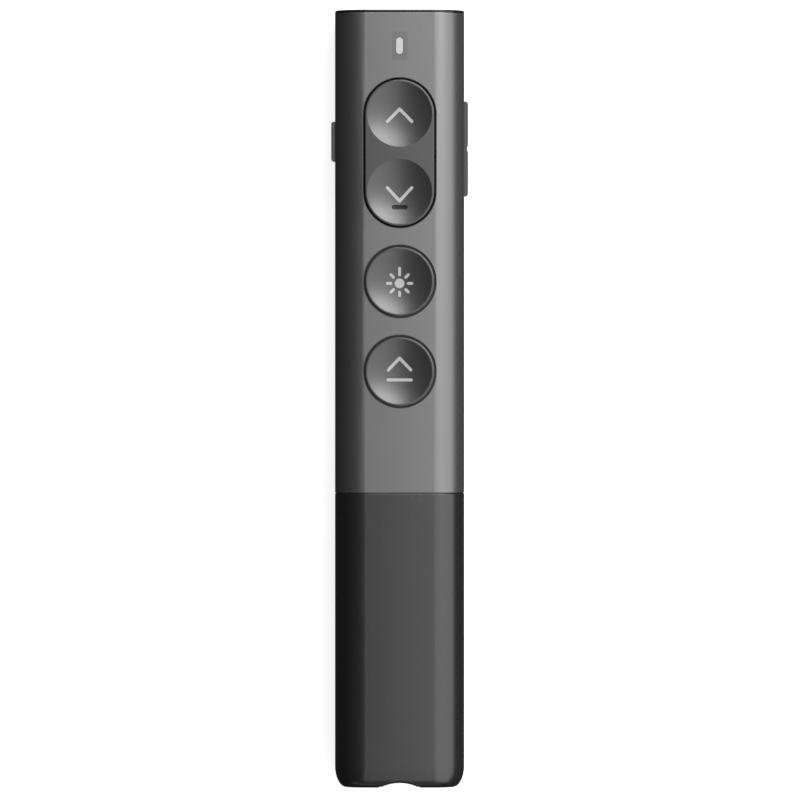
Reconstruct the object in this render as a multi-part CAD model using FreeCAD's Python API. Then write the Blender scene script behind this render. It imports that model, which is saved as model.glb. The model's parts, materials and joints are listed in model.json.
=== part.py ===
import FreeCAD, Part
import math
import os

V = FreeCAD.Vector

# A wireless presentation clicker. It lies on its back: +Y points to the nose, +X to its right
# side, +Z out of the key face. The origin is on the resting back face, under the middle of
# the length. All sizes are in millimetres.

# Casing
body_width = 23.3
corner_radius = 5.4
shell_wall = 1.4
parting_height = 4.6
sleeve_length = 53.0
seam_gap = 0.06
end_ease = 0.16
nose_plate = 0.45
nose_plug = 1.0
nose_spigot = 3.0
spigot_wall = 1.2
nose_edge_round = 0.25
fit_gap = 0.05
lip_height = 1.0
lip_wall = 0.7
tail_round_inset = 2.0
tail_round_length = 3.8
tail_wall = 1.6
rib_embed = 0.3
cut_room = 1.0
lug_half_length = 1.3
saddle_wall = 1.2
saddle_from_back = 2.5

# Cell and its cradle
cell_diameter = 10.2
cell_length = 44.0
cell_nub_length = 0.8
cell_nub_diameter = 3.8
cell_jacket_wall = 0.25
cell_clearance = 0.2
cradle_wall = 0.6
sleeve_clearance = 0.2
bulkhead = 1.2
contact_sheet = 0.3
spring_length = 2.9
spring_wire = 0.5
spring_turns = 3
spring_wide_radius = 3.4
spring_narrow_radius = 1.9
strip_width = 1.2
neck_length = 7.0
cradle_pocket_wall = 0.8
cradle_rib = 1.0
cradle_bays = 3
jacket_end = 0.6
jacket_lip = 1.0
positive_plate_half = 4.0
positive_plate_drop = 3.2
positive_tab_width = 2.0
negative_plate_half = 3.9
negative_plate_height = 6.8
contact_on_board = 1.4

# USB receiver and its bay in the tail
receiver_length = 17.4
grip_width = 14.4
grip_thickness = 5.6
grip_length = 5.5
plug_width = 12.0
plug_thickness = 4.5
plug_sheet = 0.3
bay_clearance = 0.15
bay_wall = 1.0
bay_end_gap = 0.3
sleeve_stop_gap = 0.4
groove_chord = 6.4
groove_depth = 0.7
groove_finger_room = 0.6
grip_side_round = 0.8
grip_end_round = 0.3
plug_corner_round = 0.35
plug_window_width = 2.2
plug_window_near = 4.9
plug_window_far = 7.4
tongue_thickness = 1.9
tongue_from_tip = 0.5
plug_contact_width = 1.0
plug_contact_thickness = 0.15
plug_contact_from_tip = 1.2
plug_contacts_x_length = ((-3.5, 7.4), (-1.0, 6.4), (1.0, 6.4), (3.5, 7.4))

# Front keys, their distances back from the nose, and the board under them
indicator_from_nose = 6.5
page_key_from_nose = 25.75
laser_key_from_nose = 48.9
screen_key_from_nose = 65.1
board_past_last_key = 5.3
board_bulkhead_gap = 0.4
key_diameter = 12.5
key_gap = 0.3
window_ease = 0.12
page_dish_spacing = 13.9
dish_diameter = 11.7
dish_depth = 1.0
key_edge_round = 0.2
key_travel = 0.35
flange_width = 0.6
flange_thickness = 0.6
flange_gap = 0.05
key_foot_radius = 1.8
key_foot_length = 0.15
key_tab_width = 1.6
key_tab_length = 0.9
guide_rib = 0.9
pad_height = 0.8
pad_radius = 1.8
switch_bevel = 0.2
switch_foot_reach = 0.7
switch_foot_width = 0.7
switch_foot_height = 0.2
switch_foot_spacing = 2.8
switch_width = 4.5
switch_height = 1.5
plunger_height = 0.3
plunger_radius = 1.1
board_thickness = 1.0
board_side_gap = 0.5
board_corner_round = 1.0
legend_depth = 0.3
legend_proud = 0.03
legend_stroke = 0.55
legend_edge_room = 0.5
chevron_half_width = 2.2
page_up_rise = 2.25
page_up_drop = 1.3
page_down_rise = -2.38
page_down_lift = 0.68
sun_hub_radius = 0.87
sun_rays = 8
sun_ray_start = 1.55
sun_ray_end = 2.2
sun_top_ray_end = 2.75
sun_ray_width = 0.5
sun_drop = 0.33
screen_chevron_half_width = 2.02
screen_chevron_lift = 0.3
screen_chevron_rise = 2.12
screen_bar_drop = 1.5
screen_bar_half = 2.08
dash_length = 2.9
dash_width = 0.8
dash_from_dish = 2.84
axle_radius = 0.6
axle_clearance = 0.04
axle_below_plate = 0.7
axle_lug_width = 1.2
axle_lug_gap = 0.35
page_tilt_degrees = 1.8

# Indicator
indicator_width = 2.8
indicator_length = 5.1
indicator_thickness = 0.8
pipe_width = 1.25
pipe_length = 3.0
pipe_gap = 0.08
pipe_led_gap = 0.2
led_height = 0.8
led_length = 1.6
led_half_width = 0.4
led_base_share = 0.45
pipe_collar = 0.5
pipe_collar_thickness = 0.4

# Side keys
side_key_height = 3.2
side_key_proud = 0.7
side_key_gap = 0.15
side_key_round = 0.45
side_flange = 0.6
side_flange_overlap = 0.6
knob_from_nose = 23.55
knob_length = 7.15
knob_travel = 1.9
knob_flange_gap = 0.1
volume_from_nose = 24.87
volume_length = 17.1
volume_switch_from_end = 3.05
volume_flange_gap = 0.4
volume_pin_radius = 0.5
volume_notch_depth = 0.15
volume_press_gap = 0.25
side_switch_depth = 3.0
side_switch_length = 4.4
side_switch_height = 1.65
slide_switch_depth = 3.2
slide_switch_length = 8.6
slide_switch_height = 3.0
lever_width = 1.4
lever_gap = 0.1
grip_groove_count = 5
grip_groove_pitch = 0.95
grip_groove_radius = 0.25
grip_groove_out = 0.1
grip_groove_height = 1.8
fork_depth = 0.9
fork_width = 0.8
volume_notch_radius = 1.2
volume_lug_depth = 0.3
volume_lug_half_length = 0.7
side_switch_nub = 0.4
side_switch_nub_radius = 0.55
side_switch_bevel = 0.25
slide_switch_from_flange = 1.2
slide_slot_depth = 1.7
yoke_half_depth = 1.1

# Laser module
barrel_radius = 3.0
barrel_length = 11.0
barrel_board_gap = 0.2
barrel_lip = 0.8
barrel_bore_radius = 2.4
beam_radius = 1.5
lens_thickness = 1.5
diode_base = 1.2
diode_can_radius = 1.7
diode_can_length = 2.0
lead_radius = 0.22
lead_length = 3.0
lead_side = 0.9
lens_ball_radius = 4.5
lens_bulge = 0.6
lens_dome_radius = 1.9
window_radius = 2.0
window_flange = 0.6
window_proud = 0.12
laser_board_length = 6.5
laser_board_width = 4.8
laser_board_thickness = 0.8
laser_wire_radius = 0.35
laser_wire_side = 1.2
laser_wire_from_end = 1.0
laser_chip_from_front = 3.4
laser_chip_length = 1.6
laser_chip_width = 1.0
laser_chip_height = 0.5
laser_board_gap = 0.5
window_flange_to_face = 0.4

# Screws
screw_radius = 0.8
screw_head_radius = 1.4
boss_clearance = 0.12
screw_head_height = 0.9
screw_grip = 2.4
thread_gap = 0.02
screw_hole_gap = 0.1
screw_head_gap = 0.15
screw_head_round = 0.35
screw_cross_long = 0.85
screw_cross_short = 0.17
screw_cross_depth = 0.45
pilot_past_tip = 0.3
chassis_head_below_board = 3.2
boss_wall = 0.65
board_screw_from_wall = 2.0
front_screws_from_nose = 9.4
rear_screws_from_nose = 57.0
chassis_screw_from_wall = 2.45
chassis_screw_inset = 8.0

# Radio and the small parts under the board
chip_from_laser_key = 8.0
chip_size = 5.0
chip_height = 0.85
chip_bevel = 0.15
crystal_x = 5.6
crystal_width = 2.4
crystal_length = 5.0
crystal_height = 0.9
antenna_from_board_tail = 2.2
antenna_x_range = (-7.5, -1.0)
antenna_length = 2.0
antenna_height = 1.1
small_part_length = 1.6
small_part_width = 0.8
capacitor_height = 0.8
capacitor_pitch = 2.2
capacitor_column_x = -5.2
capacitor_column_from_laser_key = 5.8
capacitor_row_x = 4.6
capacitor_row_from_screen_key = 1.5
resistor_height = 0.45
resistor_pitch = 1.6
front_resistors_x = -2.4
front_resistors_from_laser_key = 1.8
rear_resistors_x = -5.0
rear_resistors_from_screen_key = 3.0

# Places along the length, worked out as one chain from the nose to the tail
chain = [screen_key_from_nose, board_past_last_key, board_bulkhead_gap, bulkhead,
         contact_sheet, cell_length, spring_length, contact_sheet, bulkhead,
         sleeve_stop_gap, bulkhead, bay_end_gap, receiver_length]
overall_length = sum(chain)
nose_y = overall_length / 2
tail_y = nose_y - overall_length
seam_y = tail_y + sleeve_length
shell_nose_y = nose_y - nose_plate
indicator_y = nose_y - indicator_from_nose
page_key_y = nose_y - page_key_from_nose
laser_key_y = nose_y - laser_key_from_nose
screen_key_y = nose_y - screen_key_from_nose
board_tail_y = screen_key_y - board_past_last_key
chassis_y = board_tail_y - board_bulkhead_gap
cell_front_y = chassis_y - bulkhead - contact_sheet
cell_back_y = cell_front_y - cell_length
spring_end_y = cell_back_y - spring_length
cradle_end_y = spring_end_y - contact_sheet
chassis_tail_y = cradle_end_y - bulkhead
bay_front_y = chassis_tail_y - sleeve_stop_gap
plug_tip_y = tail_y + receiver_length
grip_front_y = tail_y + grip_length
plug_nose_y = shell_nose_y - nose_plug
board_nose_y = shell_nose_y - nose_plug - nose_spigot - 0.35
window_back_y = plug_nose_y
barrel_back_y = window_back_y - barrel_length
knob_y = nose_y - knob_from_nose
volume_y = nose_y - volume_from_nose
volume_switch_reach = volume_length / 2 - volume_switch_from_end

# Heights, worked out from the cell and from the key face
body_thickness = cell_diameter + 2 * (cell_clearance + cradle_wall + sleeve_clearance + shell_wall)
middle_z = body_thickness / 2
face_z = body_thickness
ceiling_z = face_z - shell_wall
flange_top_z = ceiling_z - flange_gap
flange_z = flange_top_z - flange_thickness
foot_z = flange_z - key_foot_length
pad_z = foot_z - pad_height
switch_z = pad_z - plunger_height
board_top_z = switch_z - switch_height
board_z = board_top_z - board_thickness
axle_z = flange_z - axle_below_plate
barrel_z = board_z - barrel_board_gap - barrel_radius
side_x = body_width / 2
side_inner_x = side_x - shell_wall
chassis_inset = shell_wall + sleeve_clearance
page_dish_ys = [page_key_y + page_dish_spacing / 2, page_key_y - page_dish_spacing / 2]
round_key_ys = [laser_key_y, screen_key_y]
board_screw_side = side_inner_x - board_screw_from_wall
chassis_screw_side = side_inner_x - chassis_screw_from_wall
board_screws_xy = [(side * board_screw_side, nose_y - distance)
                   for side in (-1, 1) for distance in (front_screws_from_nose, rear_screws_from_nose)]
chassis_screws_xy = [(side * chassis_screw_side, chassis_y - chassis_screw_inset) for side in (-1, 1)]
boss_radius = screw_radius + boss_wall
dish_radius = (dish_diameter ** 2 / 4 + dish_depth ** 2) / (2 * dish_depth)


def box(x0, x1, y0, y1, z0, z1):
    return Part.makeBox(x1 - x0, y1 - y0, z1 - z0, V(x0, y0, z0))


def post(x, y, z0, z1, radius):
    return Part.makeCylinder(radius, z1 - z0, V(x, y, z0), V(0, 0, 1))


def rod_along_y(x, z, y0, y1, radius):
    return Part.makeCylinder(radius, y1 - y0, V(x, y0, z), V(0, 1, 0))


def rod_along_x(y, z, x0, x1, radius):
    return Part.makeCylinder(radius, x1 - x0, V(x0, y, z), V(1, 0, 0))


def join(shapes):
    return shapes[0].multiFuse(shapes[1:]).removeSplitter()


def save(name, shape):
    """Write one sub-part, and stop if it isn't sound."""
    if not shape.isValid() or shape.Volume <= 0:
        raise RuntimeError(name + " is not a sound solid")
    solids = shape.Solids
    out = solids[0] if len(solids) == 1 else Part.makeCompound(solids)
    out.exportStep("parts/" + name + ".step")
    print(name, len(solids), "solid(s)", round(shape.Volume, 2), "mm3")


def section_wire(inset, y):
    """The casing's rounded cross-section, drawn inset from the outside, at one place along Y."""
    half = side_x - inset
    low = inset
    high = face_z - inset
    r = corner_radius - inset
    k = r * (1 - math.sqrt(0.5))
    corners = [(half, high, -1, -1), (-half, high, 1, -1), (-half, low, 1, 1), (half, low, -1, 1)]
    arcs = []
    for x, z, sx, sz in corners:
        on_side = V(x, y, z + sz * r)
        on_face = V(x + sx * r, y, z)
        middle = V(x + sx * k, y, z + sz * k)
        first, last = (on_side, on_face) if sx * sz > 0 else (on_face, on_side)
        arcs.append(Part.Arc(first, middle, last))
    edges = []
    for i, arc in enumerate(arcs):
        edges.append(arc.toShape())
        edges.append(Part.LineSegment(arc.EndPoint, arcs[(i + 1) % 4].StartPoint).toShape())
    return Part.Wire(edges)


def section_block(inset, y0, y1):
    return Part.Face(section_wire(inset, y0)).extrude(V(0, y1 - y0, 0))


def section_ring(outer, inner, y0, y1):
    return section_block(outer, y0, y1).cut(section_block(inner, y0, y1))


def stadium_wire(x, y, width, length, z):
    """The outline of a pill with its long side along Y."""
    r = width / 2
    reach = length / 2 - r
    return Part.Wire([
        Part.LineSegment(V(x + r, y - reach, z), V(x + r, y + reach, z)).toShape(),
        Part.Arc(V(x + r, y + reach, z), V(x, y + reach + r, z), V(x - r, y + reach, z)).toShape(),
        Part.LineSegment(V(x - r, y + reach, z), V(x - r, y - reach, z)).toShape(),
        Part.Arc(V(x - r, y - reach, z), V(x, y - reach - r, z), V(x + r, y - reach, z)).toShape()])


def stadium(x, y, width, length, z0, z1):
    return Part.Face(stadium_wire(x, y, width, length, z0)).extrude(V(0, 0, z1 - z0))


def stroke(x0, y0, x1, y1, width):
    """A straight pen stroke with round ends, as a tall prism through the key face."""
    length = math.hypot(x1 - x0, y1 - y0)
    angle = math.degrees(math.atan2(y1 - y0, x1 - x0)) - 90
    bar = stadium(0, 0, width, length + width, flange_z, face_z + 1)
    bar.rotate(V(0, 0, 0), V(0, 0, 1), angle)
    bar.translate(V((x0 + x1) / 2, (y0 + y1) / 2, 0))
    return bar


def dish_ball(x, y, grow=0.0):
    """The ball whose skin is the dish of a key."""
    return Part.makeSphere(dish_radius + grow, V(x, y, face_z - dish_depth + dish_radius), V(1, 0, 0))


def dish_legend(strokes, x, y):
    """A symbol moulded into a dish: it follows the dish and stands a hair proud of it."""
    layer = dish_ball(x, y, legend_depth).cut(dish_ball(x, y, -legend_proud))
    keep = post(x, y, flange_z, face_z, dish_diameter / 2 - legend_edge_room)
    return join(strokes).common(keep).common(layer)


def chevron(x, y, half_width, rise):
    """Two strokes that meet at a point rise above (or, if negative, below) y."""
    return [stroke(x - half_width, y, x, y + rise, legend_stroke),
            stroke(x + half_width, y, x, y + rise, legend_stroke)]


def sun_strokes(x, y):
    """A small sun: a hub and eight rays, the top ray longer than the others."""
    centre = y - sun_drop
    shapes = [post(x, centre, flange_z, face_z + 1, sun_hub_radius)]
    for i in range(sun_rays):
        a = math.radians(90 + 360 * i / sun_rays)
        end = sun_top_ray_end if i == 0 else sun_ray_end
        shapes.append(stroke(x + sun_ray_start * math.cos(a), centre + sun_ray_start * math.sin(a),
                             x + end * math.cos(a), centre + end * math.sin(a), sun_ray_width))
    return shapes


def screen_strokes(x, y):
    """A chevron over a bar."""
    bar_y = y - screen_bar_drop
    peak = chevron(x, y + screen_chevron_lift, screen_chevron_half_width, screen_chevron_rise)
    return peak + [stroke(x - screen_bar_half, bar_y, x + screen_bar_half, bar_y, legend_stroke)]


def side_window(x_sign, y0, y1):
    """The hole in the side wall for a side key."""
    half = side_key_height / 2 + side_key_gap
    xs = sorted([x_sign * (side_inner_x - cut_room), x_sign * (side_x + cut_room)])
    return box(xs[0], xs[1], y0, y1, middle_z - half, middle_z + half)


def knob_slot_range():
    return (knob_y - knob_length / 2 - knob_travel - side_key_gap, knob_y + knob_length / 2 + side_key_gap)


def page_window():
    width = key_diameter + 2 * key_gap
    hole = stadium(0, page_key_y, width, page_dish_spacing + width, ceiling_z - 1, face_z + 1)
    wide = width + 2 * window_ease
    wires = [stadium_wire(0, page_key_y, width, page_dish_spacing + width, face_z - window_ease),
             stadium_wire(0, page_key_y, wide, page_dish_spacing + wide, face_z)]
    return [hole, Part.makeLoft(wires, True, True)]


def round_window(y):
    """A round key's hole, with its upper edge eased by a small cone."""
    r = key_diameter / 2 + key_gap
    hole = post(0, y, ceiling_z - 0.01, face_z + 1, r)
    return [hole, Part.makeCone(r, r + window_ease, window_ease, V(0, y, face_z - window_ease), V(0, 0, 1))]


def axle_lugs(bore):
    """Two lugs under the key face that carry the page key's axle."""
    inner = key_diameter / 2 + axle_lug_gap
    lugs = []
    for sign in (-1, 1):
        xs = sorted([sign * inner, sign * (inner + axle_lug_width)])
        low = axle_z - axle_radius - 0.4
        lugs.append(box(xs[0], xs[1], page_key_y - lug_half_length, page_key_y + lug_half_length,
                        low, ceiling_z + rib_embed))
    axle_hole = rod_along_x(page_key_y, axle_z, -side_x, side_x, axle_radius + bore)
    return [lug.cut(axle_hole) for lug in lugs]


def key_guides(y):
    """Two ribs that stop a round key from turning."""
    inner = key_tab_width / 2 + 0.1
    start = key_diameter / 2 + flange_width + 0.15
    ribs = []
    for sign in (-1, 1):
        xs = sorted([sign * inner, sign * (inner + guide_rib)])
        ribs.append(box(xs[0], xs[1], y + start, y + start + key_tab_length, flange_z - rib_embed,
                        ceiling_z + rib_embed))
    return ribs


def make_front_shell():
    above = box(-side_x, side_x, tail_y, nose_y, parting_height, face_z + 1)
    shell = section_ring(0, shell_wall, seam_y + seam_gap, shell_nose_y).common(above)
    inside = section_block(shell_wall - 0.4, seam_y + seam_gap, shell_nose_y)
    bosses = [post(x, y, board_top_z, face_z, boss_radius).common(inside) for x, y in board_screws_xy]
    bosses += [post(x, y, board_top_z, face_z, boss_radius).common(inside) for x, y in chassis_screws_xy]
    shell = join([shell] + bosses + axle_lugs(thread_gap) + key_guides(laser_key_y) + key_guides(screen_key_y))
    cuts = page_window()
    for y in round_key_ys:
        cuts += round_window(y)
    cuts.append(side_window(1, volume_y - volume_length / 2 - side_key_gap,
                            volume_y + volume_length / 2 + side_key_gap))
    slot = knob_slot_range()
    cuts.append(side_window(-1, slot[0], slot[1]))
    cuts.append(box(-indicator_width / 2, indicator_width / 2, indicator_y - indicator_length / 2,
                    indicator_y + indicator_length / 2, face_z - indicator_thickness, face_z + 1))
    cuts.append(stadium(0, indicator_y, pipe_width + 2 * pipe_gap, pipe_length + 2 * pipe_gap,
                        ceiling_z - 1, face_z + 1))
    for x, y in board_screws_xy + chassis_screws_xy:
        cuts.append(post(x, y, board_top_z - 0.5, board_top_z + screw_grip + pilot_past_tip,
                         screw_radius + thread_gap))
    for cutter in cuts:
        shell = shell.cut(cutter)
    shell = ease_end(ease_end(shell, seam_y + seam_gap, 1), shell_nose_y, -1)
    return join([shell, make_yoke()])


def volume_pin_x():
    return side_inner_x - volume_flange_gap - side_flange / 2


def make_back_shell():
    below = box(-side_x, side_x, tail_y, nose_y, -1, parting_height)
    shell = section_ring(0, shell_wall, seam_y + seam_gap, shell_nose_y).common(below)
    lip_y0 = chassis_y + fit_gap
    lip_y1 = plug_nose_y - nose_spigot - fit_gap
    root = section_ring(shell_wall - 0.1, shell_wall + lip_wall, lip_y0, lip_y1)
    root = root.common(box(-side_x, side_x, lip_y0, lip_y1, parting_height - lip_height, parting_height))
    lip = section_ring(shell_wall + fit_gap, shell_wall + lip_wall, lip_y0, lip_y1)
    lip = lip.common(box(-side_x, side_x, lip_y0, lip_y1, parting_height, parting_height + lip_height))
    knob = knob_flange_range()
    rocker = volume_length / 2 + side_flange_overlap
    room = 0.5
    lip = lip.cut(box(-side_x, 0, knob[0] - knob_travel - room, knob[1] + room, parting_height, middle_z))
    lip = lip.cut(box(0, side_x, volume_y - rocker - room, volume_y + rocker + room, parting_height, middle_z))
    saddle_y = barrel_back_y + saddle_from_back
    saddle_half = barrel_radius + saddle_wall
    saddle = box(-saddle_half, saddle_half, saddle_y, saddle_y + saddle_wall,
                 shell_wall - rib_embed, barrel_z - 0.4)
    saddle = saddle.cut(rod_along_y(0, barrel_z, saddle_y, saddle_y + 2, barrel_radius + fit_gap))
    shell = ease_end(ease_end(shell, seam_y + seam_gap, 1), shell_nose_y, -1)
    return join([shell, root, lip, saddle])


def make_nose_cap():
    """The end cap: a plate as thin as the photograph's dark line, a plug and a spigot behind it."""
    plate = section_block(0, shell_nose_y, nose_y)
    rim = [edge for edge in plate.Edges if abs(edge.BoundBox.YMin - nose_y) < 1e-4]
    plate = plate.makeFillet(nose_edge_round, rim)
    plug = section_block(shell_wall + fit_gap, plug_nose_y, shell_nose_y)
    spigot = section_ring(shell_wall + fit_gap, shell_wall + fit_gap + spigot_wall,
                          plug_nose_y - nose_spigot, plug_nose_y)
    sleeve_radius = barrel_radius + fit_gap + spigot_wall / 2
    sleeve = rod_along_y(0, barrel_z, plug_nose_y - nose_spigot, plug_nose_y, sleeve_radius)
    cap = join([plate, plug, spigot, sleeve])
    cap = cap.cut(rod_along_y(0, barrel_z, plug_nose_y - nose_spigot - 1, plug_nose_y,
                              barrel_radius + fit_gap))
    flange_depth = nose_plug - window_flange_to_face
    cap = cap.cut(rod_along_y(0, barrel_z, plug_nose_y - 0.01, plug_nose_y + flange_depth,
                              window_radius + window_flange))
    return cap.cut(rod_along_y(0, barrel_z, plug_nose_y, nose_y + 1, window_radius))


def make_laser_window():
    flange_depth = nose_plug - window_flange_to_face
    flange = rod_along_y(0, barrel_z, plug_nose_y, plug_nose_y + flange_depth, window_radius + window_flange)
    disc = rod_along_y(0, barrel_z, plug_nose_y, nose_y + window_proud, window_radius)
    return join([flange, disc])


def make_laser_barrel():
    barrel = rod_along_y(0, barrel_z, barrel_back_y, window_back_y, barrel_radius)
    bore = rod_along_y(0, barrel_z, barrel_back_y - 1, window_back_y - barrel_lip, barrel_bore_radius)
    barrel = barrel.cut(bore)
    return barrel.cut(rod_along_y(0, barrel_z, barrel_back_y - 1, window_back_y + 1, beam_radius))


def make_laser_lens():
    """A plano-convex collimating lens behind the barrel's lip."""
    front = window_back_y - barrel_lip
    disc = rod_along_y(0, barrel_z, front - lens_thickness, front, barrel_bore_radius - thread_gap)
    back = front - lens_thickness
    ball = Part.makeSphere(lens_ball_radius, V(0, back - lens_bulge + lens_ball_radius, barrel_z))
    dome = rod_along_y(0, barrel_z, back - 1, back + 0.01, lens_dome_radius).common(ball)
    return join([disc, dome])


def make_laser_diode():
    """The diode's base fills the back of the barrel, and its leads reach the driver board."""
    base = rod_along_y(0, barrel_z, barrel_back_y, barrel_back_y + diode_base, barrel_bore_radius - thread_gap)
    can = rod_along_y(0, barrel_z, barrel_back_y + diode_base, barrel_back_y + diode_base + diode_can_length,
                      diode_can_radius)
    lead_z = barrel_z + laser_board_thickness / 2 + lead_radius
    low_z = barrel_z - laser_board_thickness / 2 - lead_radius
    leads = [rod_along_y(x, z, barrel_back_y - lead_length, barrel_back_y + 0.2, lead_radius)
             for x, z in ((-lead_side, lead_z), (lead_side, lead_z), (0, low_z))]
    return join([base, can] + leads)


def laser_board_y():
    return barrel_back_y - laser_board_gap


def make_laser_board():
    half = laser_board_width / 2
    y1 = laser_board_y()
    z0 = barrel_z - laser_board_thickness / 2
    board = box(-half, half, y1 - laser_board_length, y1, z0, z0 + laser_board_thickness)
    parts = [board]
    y = y1 - laser_chip_from_front
    for x in (-laser_wire_side, laser_wire_side):
        parts.append(box(x - laser_chip_width / 2, x + laser_chip_width / 2, y - laser_chip_length / 2,
                         y + laser_chip_length / 2, z0 - laser_chip_height, z0))
    return join(parts)


def make_laser_wires():
    top = barrel_z + laser_board_thickness / 2
    y = laser_board_y() - laser_board_length + laser_wire_from_end
    return Part.makeCompound([post(x, y, top, board_z, laser_wire_radius)
                              for x in (-laser_wire_side, laser_wire_side)])


def make_indicator_window():
    plate = box(-indicator_width / 2, indicator_width / 2, indicator_y - indicator_length / 2,
                indicator_y + indicator_length / 2, face_z - indicator_thickness, face_z)
    return plate.cut(stadium(0, indicator_y, pipe_width + 2 * pipe_gap, pipe_length + 2 * pipe_gap,
                             ceiling_z, face_z + 1))


def make_light_pipe():
    bottom = board_top_z + led_height + pipe_led_gap
    pipe = stadium(0, indicator_y, pipe_width, pipe_length, bottom, face_z)
    collar = stadium(0, indicator_y, pipe_width + 2 * pipe_collar, pipe_length + 2 * pipe_collar,
                     ceiling_z - pipe_collar_thickness, ceiling_z)
    return join([pipe, collar])


def make_status_led():
    split_z = board_top_z + led_height * led_base_share
    base = box(-led_half_width, led_half_width, indicator_y - led_length / 2, indicator_y + led_length / 2,
               board_top_z, split_z)
    lens = box(-led_half_width, led_half_width, indicator_y - led_length / 3, indicator_y + led_length / 3,
               split_z, board_top_z + led_height)
    return join([base, lens])


def make_main_board():
    half = side_inner_x - board_side_gap
    board = box(-half, half, board_tail_y, board_nose_y, board_z, board_top_z)
    uprights = [edge for edge in board.Edges if abs(edge.BoundBox.ZLength - board_thickness) < 1e-4]
    board = board.makeFillet(board_corner_round, uprights)
    for x, y in board_screws_xy:
        board = board.cut(post(x, y, board_z - 1, board_top_z + 1, screw_radius + screw_hole_gap))
    relief = side_flange + volume_flange_gap + 0.7
    board = board.cut(box(side_inner_x - relief, side_x, volume_y - volume_length / 2 - 1.6,
                          volume_y + volume_length / 2 + 1.6, board_z - 1, board_top_z + 1))
    knob_room = knob_flange_gap + side_flange + 0.5
    flange = knob_flange_range()
    return board.cut(box(-side_x, knob_room - side_inner_x, flange[0] - knob_travel - 0.4, flange[1] + 0.4,
                         board_z - 1, board_top_z + 1))


def make_front_switch(y):
    """A flat tactile switch: square housing, round plunger, four feet."""
    half = switch_width / 2
    housing = box(-half, half, y - half, y + half, board_top_z, switch_z)
    top = [edge for edge in housing.Edges if abs(edge.BoundBox.ZMin - switch_z) < 1e-4]
    housing = housing.makeChamfer(switch_bevel, top)
    plunger = post(0, y, switch_z - 0.2, pad_z, plunger_radius)
    reach = half + switch_foot_reach
    feet = [box(-reach, reach, y + side * switch_foot_spacing / 2 - switch_foot_width / 2,
                y + side * switch_foot_spacing / 2 + switch_foot_width / 2,
                board_top_z, board_top_z + switch_foot_height) for side in (-1, 1)]
    return join([housing, plunger] + feet)


def make_pad(y):
    """A silicone pad between a key and its switch."""
    return post(0, y, pad_z, foot_z, pad_radius)


def volume_switch_x():
    return volume_pin_x() - side_flange / 2 - volume_lug_depth - volume_press_gap


def make_side_switch(y):
    """A side-pushed tactile switch under the board, with its nub towards the volume rocker."""
    front = volume_switch_x() - side_switch_nub
    half = side_switch_length / 2
    housing = box(front - side_switch_depth, front, y - half, y + half, board_z - side_switch_height, board_z)
    low = [edge for edge in housing.Edges if abs(edge.BoundBox.ZMax - board_z + side_switch_height) < 1e-4]
    housing = housing.makeChamfer(side_switch_bevel, low)
    z = board_z - side_switch_height / 2
    button = rod_along_x(y, z, front - 0.2, front + side_switch_nub, side_switch_nub_radius)
    return join([housing, button])


def slide_switch_x():
    return knob_flange_gap + side_flange + slide_switch_from_flange - side_inner_x


def lever_range():
    return (knob_y - lever_width / 2, knob_y + lever_width / 2)


def make_power_switch():
    """A slide switch under the board, with a slot for its lever."""
    x0 = slide_switch_x()
    y = knob_y - knob_travel / 2
    half = slide_switch_length / 2
    z0 = board_z - slide_switch_height
    housing = box(x0, x0 + slide_switch_depth, y - half, y + half, z0, board_z)
    y0, y1 = lever_range()
    slot = box(x0 - 1, x0 + slide_slot_depth, y0 - knob_travel - lever_gap, y1 + lever_gap,
               middle_z - lever_width / 2 - lever_gap, middle_z + lever_width / 2 + lever_gap)
    return housing.cut(slot)


def make_power_switch_lever():
    x0 = slide_switch_x()
    y0, y1 = lever_range()
    half = lever_width / 2
    return box(x0 - 1.1, x0 + 1.5, y0, y1, middle_z - half, middle_z + half)


def knob_flange_range():
    slot = knob_slot_range()
    return (slot[0] - side_flange_overlap, slot[1] + knob_travel + side_flange_overlap)


def side_key_block(sign, inner_x, y, length):
    """The part of a side key that shows: a bar with rounded outer edges."""
    half = side_key_height / 2
    outer = side_x + side_key_proud
    xs = sorted([sign * inner_x, sign * outer])
    bar = box(xs[0], xs[1], y - length / 2, y + length / 2, middle_z - half, middle_z + half)
    rim = [edge for edge in bar.Edges
           if abs(edge.BoundBox.XMin - sign * outer) < 1e-4 and abs(edge.BoundBox.XMax - sign * outer) < 1e-4]
    return bar.makeFillet(side_key_round, rim)


def make_power_knob():
    """The slide knob, its flange behind the wall, and two fork ribs round the lever."""
    outer = side_inner_x - knob_flange_gap
    inner = outer - side_flange
    half = side_key_height / 2 + side_flange_overlap
    flange = knob_flange_range()
    plate = box(-outer, -inner, flange[0], flange[1], middle_z - half, middle_z + half)
    knob = side_key_block(-1, outer - 0.2, knob_y, knob_length)
    grips = []
    for i in range(grip_groove_count):
        y = knob_y + (i - (grip_groove_count - 1) / 2) * grip_groove_pitch
        grips.append(post(-side_x - side_key_proud - grip_groove_out, y, middle_z - grip_groove_height / 2,
                          middle_z + grip_groove_height / 2, grip_groove_radius))
    knob = knob.cut(Part.makeCompound(grips))
    y0, y1 = lever_range()
    fork_half = lever_width / 2
    forks = [box(-inner - 0.01, -inner + fork_depth, y, y + fork_width,
                 middle_z - fork_half, middle_z + fork_half)
             for y in (y1 + lever_gap, y0 - lever_gap - fork_width)]
    return join([plate, knob] + forks)


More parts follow.
